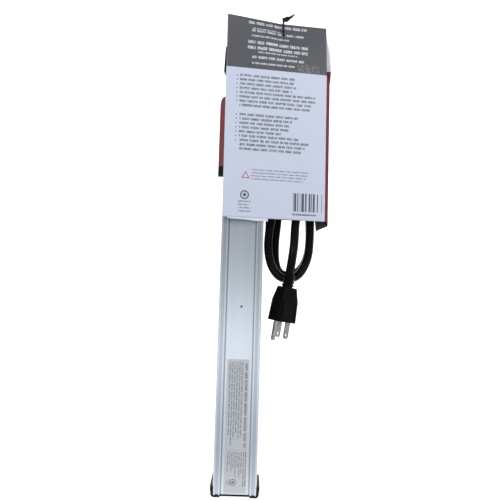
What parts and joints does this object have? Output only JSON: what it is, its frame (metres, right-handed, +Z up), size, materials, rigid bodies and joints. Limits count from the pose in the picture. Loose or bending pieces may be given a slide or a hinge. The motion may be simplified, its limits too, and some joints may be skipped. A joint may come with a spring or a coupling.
{
  "type": "surge protected power bar",
  "caption": "Aluminium outlet bar with surge protection, lighted rocker, reset breaker and grooved rear rails, its cord folded beside it in a printed card sleeve.",
  "frame": {"origin": "centre of the plane of the two rear rails, half way along the bar", "axes": "+Z up along the bar to the cord end, +Y out of the back through the rails, outlets face -Y"},
  "size_m": [0.1316, 0.0542, 0.5372],
  "materials": {
    "anodised": "satin anodised extrusion with fine die lines",
    "panel_sheet": "satin anodised sheet",
    "label_foil": "silver grey foil label, matt",
    "cap_plastic": "black moulded, light texture",
    "outlet_plastic": "black moulded, light texture",
    "brass_strip": "rolled strip",
    "screw_steel": "zinc plated",
    "nickel": "nickel plated brass",
    "rocker_lens": "translucent red",
    "lamp_glass": "clear",
    "phenolic": "black moulded",
    "circuit_board": "green laminate",
    "varistor_blue": "dipped epoxy",
    "nylon": "natural nylon",
    "lead_black": "smooth insulation",
    "lead_white": "smooth insulation",
    "lead_green": "smooth insulation",
    "cord_jacket": "black, matt",
    "plug_vinyl": "black moulded vinyl",
    "printed_card": "printed card, semi-gloss",
    "tie_black": "black coated wire"
  },
  "bodies": {
    "bar": {"housing_extrusion": "anodised", "rear_panel": "panel_sheet", "rating_label": "label_foil", "end_cap_top": "cap_plastic", "end_cap_bottom": "cap_plastic", "end_cap_screws": "screw_steel", "outlet_1": "outlet_plastic", "outlet_2": "outlet_plastic", "outlet_3": "outlet_plastic", "outlet_4": "outlet_plastic", "outlet_5": "outlet_plastic", "outlet_6": "outlet_plastic", "line_bus": "brass_strip", "neutral_bus": "brass_strip", "ground_bus": "brass_strip", "ground_screw": "screw_steel", "switch_housing": "phenolic", "switch_terminals": "nickel", "switch_lamp": "lamp_glass", "breaker_body": "phenolic", "breaker_nut": "nickel", "breaker_terminals": "nickel", "surge_board": "circuit_board", "board_standoffs": "nylon", "board_screws": "screw_steel", "varistors": "varistor_blue", "thermal_fuse": "nickel", "line_leads": "lead_black", "neutral_lead": "lead_white", "ground_leads": "lead_green", "strain_relief": "plug_vinyl", "power_cord": "cord_jacket", "plug_body": "plug_vinyl", "plug_line_blade": "nickel", "plug_neutral_blade": "nickel", "plug_ground_pin": "nickel", "card_sleeve": "printed_card", "card_tie": "tie_black"},
    "rocker": {"switch_rocker": "rocker_lens", "switch_pivot": "screw_steel"},
    "contact_lever": {"switch_contact_lever": "brass_strip"},
    "reset_button": {"breaker_button": "nylon"}
  },
  "joints": [
    {"name": "rocker_tilt", "type": "hinge", "parent": "bar", "child": "rocker", "pos_m": [0, -0.037, 0.203], "axis": [-1, 0, 0], "range_deg": [0, 20]},
    {"name": "lever_tilt", "type": "hinge", "parent": "bar", "child": "contact_lever", "pos_m": [0, -0.0295, 0.203], "axis": [1, 0, 0], "range_deg": [0, 20]},
    {"name": "reset_press", "type": "slide", "parent": "bar", "child": "reset_button", "axis": [0, 1, 0], "range_m": [0, 0.003], "stiffness_N_per_m": 400}
  ],
  "couplings": [
    {"joint": "lever_tilt", "follows": "rocker_tilt", "ratio": 1}
  ]
}
